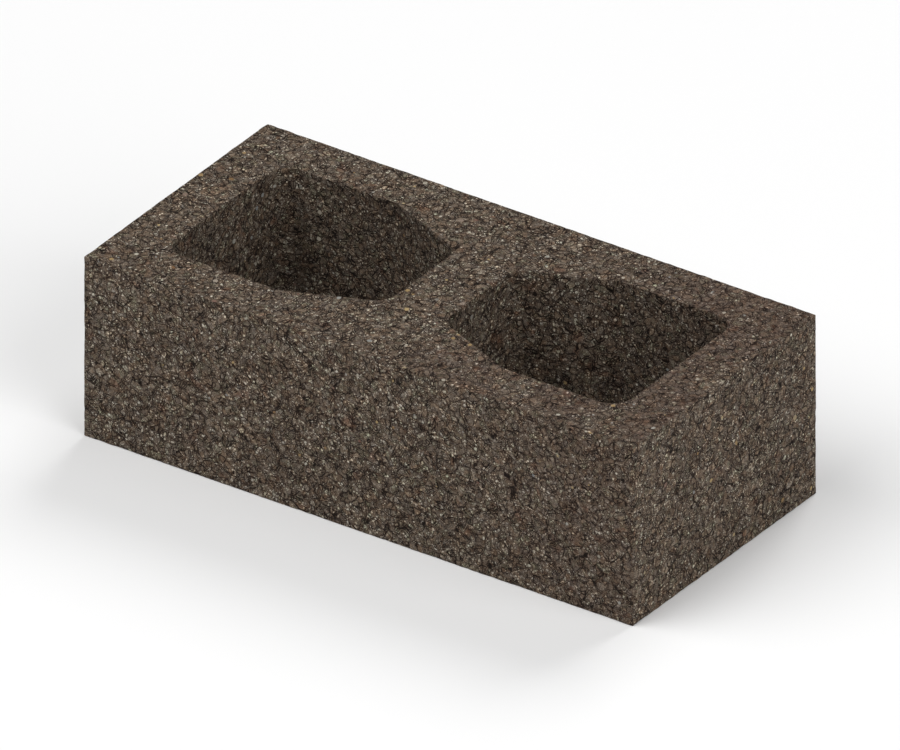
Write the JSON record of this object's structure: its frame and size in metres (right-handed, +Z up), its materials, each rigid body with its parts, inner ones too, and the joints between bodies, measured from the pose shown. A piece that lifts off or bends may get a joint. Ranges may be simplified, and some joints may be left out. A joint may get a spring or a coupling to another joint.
{
  "type": "concrete block",
  "caption": "Half-height hollow concrete masonry block with open cores that narrow towards the centre web, for mortared and grouted walls.",
  "frame": {"origin": "centre of the lower bed face, on the floor", "axes": "+X along the block's length, +Y across its width from the front face shell to the back one, +Z up through the cores"},
  "size_m": [0.29, 0.14, 0.09],
  "materials": {
    "concrete": "dry-cast masonry concrete, dark brown-grey, open grainy texture with sparse pale chips"
  },
  "bodies": {
    "root": {"block": "concrete"}
  },
  "joints": []
}
